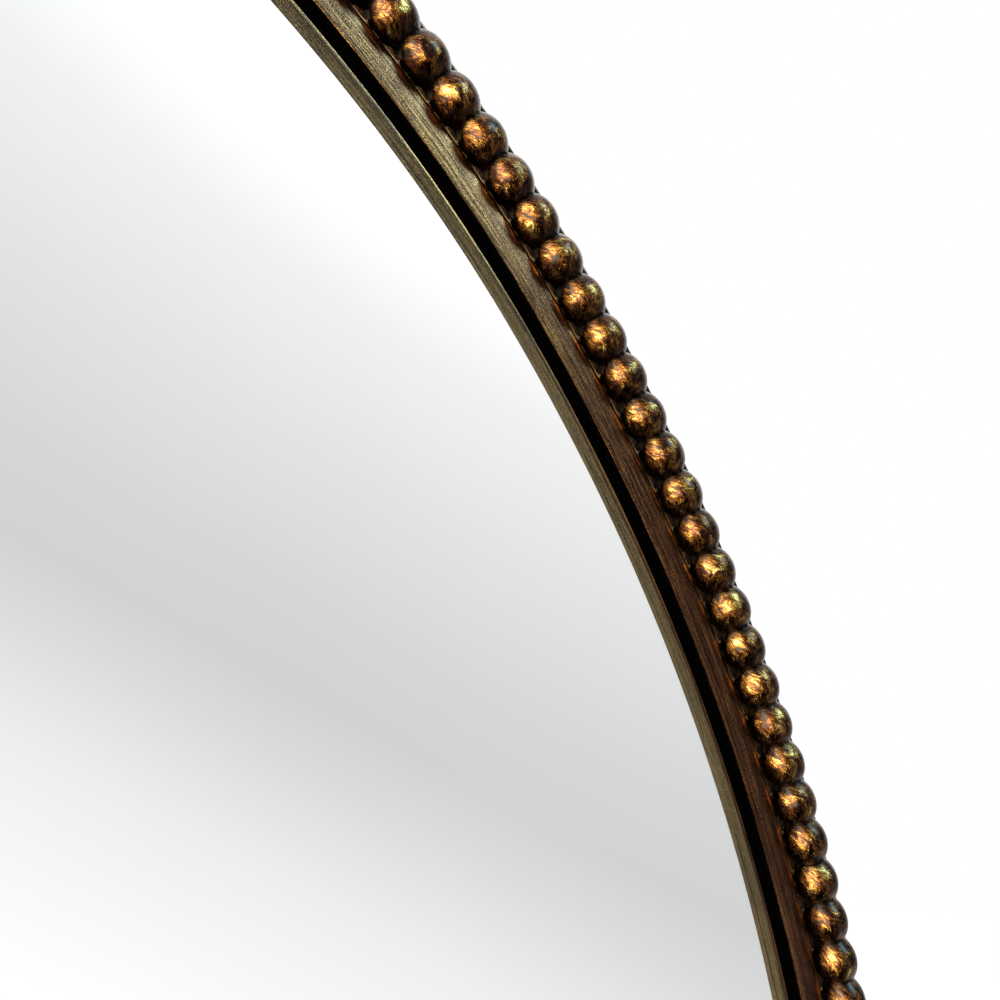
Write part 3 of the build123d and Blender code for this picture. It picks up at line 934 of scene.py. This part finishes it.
def stage():
    """Small round pale floor below the object, fading out to the white background."""
    drop = CAD_BOX[0][2] - FLOOR_GAP
    turns = [2 * math.pi * side / FLOOR_SIDES for side in range(FLOOR_SIDES)]
    mesh = bpy.data.meshes.new("floor")
    rim = [(FLOOR_RADIUS * math.cos(turn), FLOOR_RADIUS * math.sin(turn), drop) for turn in turns]
    mesh.from_pydata(rim, [], [tuple(range(FLOOR_SIDES))])
    floor = bpy.data.objects.new("floor", mesh)
    bpy.context.scene.collection.objects.link(floor)
    material, tree = blank("pale_floor")
    place = node(tree, "ShaderNodeTexCoord").outputs["Object"]
    flat = node(tree, "ShaderNodeVectorMath", {0: place, 1: (1.0, 1.0, 0.0)}, operation="MULTIPLY").outputs[0]
    reach = node(tree, "ShaderNodeVectorMath", {0: flat}, operation="LENGTH").outputs["Value"]
    limits = {"Value": reach, "From Min": FLOOR_FADE[0], "From Max": FLOOR_FADE[1]}
    fade = node(tree, "ShaderNodeMapRange", limits).outputs[0]
    rays = node(tree, "ShaderNodeLightPath")
    matt = node(tree, "ShaderNodeBsdfDiffuse", {"Color": (0.75, 0.75, 0.75, 1.0)})
    glow = node(tree, "ShaderNodeEmission", {"Color": (1.0, 1.0, 1.0, 1.0), "Strength": FLOOR_GLOW})
    lit = node(tree, "ShaderNodeAddShader", {0: matt.outputs[0], 1: glow.outputs[0]})
    seen = chosen(tree, rays.outputs["Is Camera Ray"], matt.outputs[0], lit.outputs[0])
    clear = node(tree, "ShaderNodeBsdfTransparent")
    pick = node(tree, "ShaderNodeMixShader", {0: fade, 1: seen, 2: clear.outputs[0]})
    output = node(tree, "ShaderNodeOutputMaterial")
    tree.links.new(pick.outputs[0], output.inputs[0])
    mesh.materials.append(material)
    floor.visible_glossy = False


# Studio, as directions in a unit sphere. Metal sees it darker to the left and far to the right, with two glows,
# each bounded by (axis, value where it starts, value where it is full). The plain gradient that the mirror shows
# runs along GLARE_AXIS, as (distance along it, grey).
WORLD_LIGHT = 0.50
LEFT_DIM = 0.05
RIGHT_DIM = 0.14
CALM_FLOOR = 0.62
LEFT_GLOW = 25.0
LEFT_TINT = (1.0, 1.0, 0.72, 1.0)
LEFT_BOUNDS = (("x", -0.50, -0.66), ("z", -0.26, -0.10), ("z", 0.88, 0.72), ("y", 0.35, 0.15))
RIGHT_GLOW = 36.0
RIGHT_TINT = (0.39, 0.86, 1.0, 1.0)
RIGHT_SLANT = 0.55
RIGHT_BOUNDS = (("slanting", 0.60, 0.67), ("x", 0.68, 0.58), ("z", 0.12, 0.24), ("z", 0.70, 0.55),
                ("y", 0.25, 0.05))
GLARE_AXIS = (1.0, 0.0, 0.91)
GLARE_REACH = 1.36
STUDIO_BANDS = [
    (-0.90, 0.10),
    (-0.62, 0.35),
    (-0.42, 1.08),
    (-0.168, 0.90),
    (-0.03, 0.75),
    (0.056, 0.68),
    (0.178, 0.715),
    (0.373, 0.82),
    (0.558, 0.94),
    (0.670, 1.10),
    (1.050, 1.80),
]


def between(tree, value, start, end, low=0.0, high=1.0):
    """Smooth step of a value from low to high."""
    made = node(tree, "ShaderNodeMapRange", {"Value": value, "From Min": start, "From Max": end,
                                             "To Min": low, "To Max": high}, interpolation_type="SMOOTHSTEP")
    return made.outputs[0]


def product(tree, *values):
    """Product of several values."""
    result = values[0]
    for value in values[1:]:
        result = math_node(tree, "MULTIPLY", result, value)
    return result


def glow(tree, axes, bounds, tint, strength):
    """Soft light of a tint, bounded in direction."""
    shape = product(tree, *(between(tree, axes[axis], start, full) for axis, start, full in bounds))
    return background(tree, tint, math_node(tree, "MULTIPLY", shape, strength))


def softboxes(tree, x, y, z):
    """Two soft lights as reflections show them: a tall one on the left, a small one up to the right."""
    slanting = math_node(tree, "ADD", x, math_node(tree, "MULTIPLY", z, RIGHT_SLANT))
    axes = {"x": x, "y": y, "z": z, "slanting": slanting}
    left = glow(tree, axes, LEFT_BOUNDS, LEFT_TINT, LEFT_GLOW)
    right = glow(tree, axes, RIGHT_BOUNDS, RIGHT_TINT, RIGHT_GLOW)
    return node(tree, "ShaderNodeAddShader", {0: left, 1: right}).outputs[0]


def studio_gradient(tree, direction):
    """Grey of the studio along the glare's axis."""
    along = node(tree, "ShaderNodeVectorMath", {0: direction, 1: GLARE_AXIS}, operation="DOT_PRODUCT")
    limits = {"Value": along.outputs["Value"], "From Min": -GLARE_REACH, "From Max": GLARE_REACH}
    place = node(tree, "ShaderNodeMapRange", limits).outputs[0]
    return ramp(tree, place, [((slant + GLARE_REACH) / (2 * GLARE_REACH), grey) for slant, grey in STUDIO_BANDS])


def world():
    """White seen directly, a plain gradient in the mirror, and a studio with dark sides in rougher metal."""
    scene_world = bpy.data.worlds.new("studio")
    scene_world.use_nodes = True
    tree = scene_world.node_tree
    tree.nodes.clear()
    direction = node(tree, "ShaderNodeTexCoord").outputs["Generated"]
    x, y, z = node(tree, "ShaderNodeSeparateXYZ", {0: direction}).outputs
    studio = studio_gradient(tree, direction)
    sides = product(tree, between(tree, x, -0.34, -0.06, LEFT_DIM, 1.0), between(tree, x, 0.64, 0.80, 1.0, RIGHT_DIM))
    level = math_node(tree, "MAXIMUM", sides, between(tree, y, 0.0, 0.25))
    room = background(tree, studio, level)
    bright = node(tree, "ShaderNodeAddShader", {0: room, 1: softboxes(tree, x, y, z)}).outputs[0]
    calm = background(tree, math_node(tree, "MAXIMUM", studio, CALM_FLOOR), 1.0)
    even = background(tree, (0.95, 0.98, 1.0, 1.0), WORLD_LIGHT)
    white = background(tree, (1.0, 1.0, 1.0, 1.0), 1.0)
    rays = node(tree, "ShaderNodeLightPath").outputs
    shown = chosen(tree, rays["Is Singular Ray"], bright, calm)
    mirrored = math_node(tree, "MAXIMUM", rays["Is Glossy Ray"], rays["Is Transmission Ray"])
    lit = chosen(tree, mirrored, even, shown)
    output = node(tree, "ShaderNodeOutputWorld")
    tree.links.new(chosen(tree, rays["Is Camera Ray"], lit, white), output.inputs[0])
    bpy.context.scene.world = scene_world


def lamp(name, place, target, width, height, power, colour):
    """Soft rectangular lamp aimed at a point."""
    light = bpy.data.lights.new(name, "AREA")
    light.shape = "RECTANGLE"
    light.size, light.size_y = width, height
    light.energy = power
    light.color = colour
    lamp_object = bpy.data.objects.new(name, light)
    lamp_object.location = place
    lamp_object.visible_glossy = False
    lamp_object.rotation_euler = (Vector(target) - Vector(place)).to_track_quat("-Z", "Y").to_euler()
    bpy.context.scene.collection.objects.link(lamp_object)


def lamps():
    """Soft lamps on the left and up to the right, and a weaker one behind for the back."""
    target = (0.0, -0.02, 0.0)
    lamp("left_softbox", (-1.10, -0.75, 0.60), target, 0.80, 1.10, 16.0, (1.0, 0.97, 0.93))
    lamp("right_softbox", (0.90, -1.10, 1.10), target, 0.90, 0.90, 14.0, (0.96, 1.0, 0.98))
    lamp("back_softbox", (0.70, 1.30, 0.90), target, 0.90, 0.90, 16.0, (1.0, 1.0, 1.0))


def camera():
    """Close view of the upper right, rolled as the photograph is."""
    data = bpy.data.cameras.new("camera")
    data.lens = CAMERA_LENS
    data.sensor_width = SENSOR_WIDTH
    data.clip_start = 0.01
    eye = bpy.data.objects.new("camera", data)
    facing, tilt = math.radians(CAMERA_FACING), math.radians(CAMERA_TILT)
    level = Matrix.Rotation(-facing, 4, "Z") @ Matrix.Rotation(math.pi / 2 + tilt, 4, "X")
    roll = Matrix.Rotation(math.radians(CAMERA_ROLL), 4, "Z")
    eye.matrix_world = Matrix.Translation(CAMERA_PLACE) @ level @ roll
    bpy.context.scene.collection.objects.link(eye)
    bpy.context.scene.camera = eye


bpy.context.scene.view_settings.view_transform = "Standard"
outer_frame_piece()
liner_piece()
mirror_piece()
bead_finish = rubbed_bead()
bead_foot = bronze_lacquer("bead_foot_lacquer", (0.004, 0.003, 0.002), (0.012, 0.007, 0.004),
                           (0.040, 0.020, 0.009), (0.10, 0.05, 0.02))
for quarter, corner in enumerate(("upper_right", "upper_left", "lower_left", "lower_right")):
    strand = bead_strand(f"beads_{corner}", quarter)
    dress(strand, f"bead_strand_{corner}", "body", [bead_finish, bead_foot])
fittings()
stage()
world()
lamps()
camera()
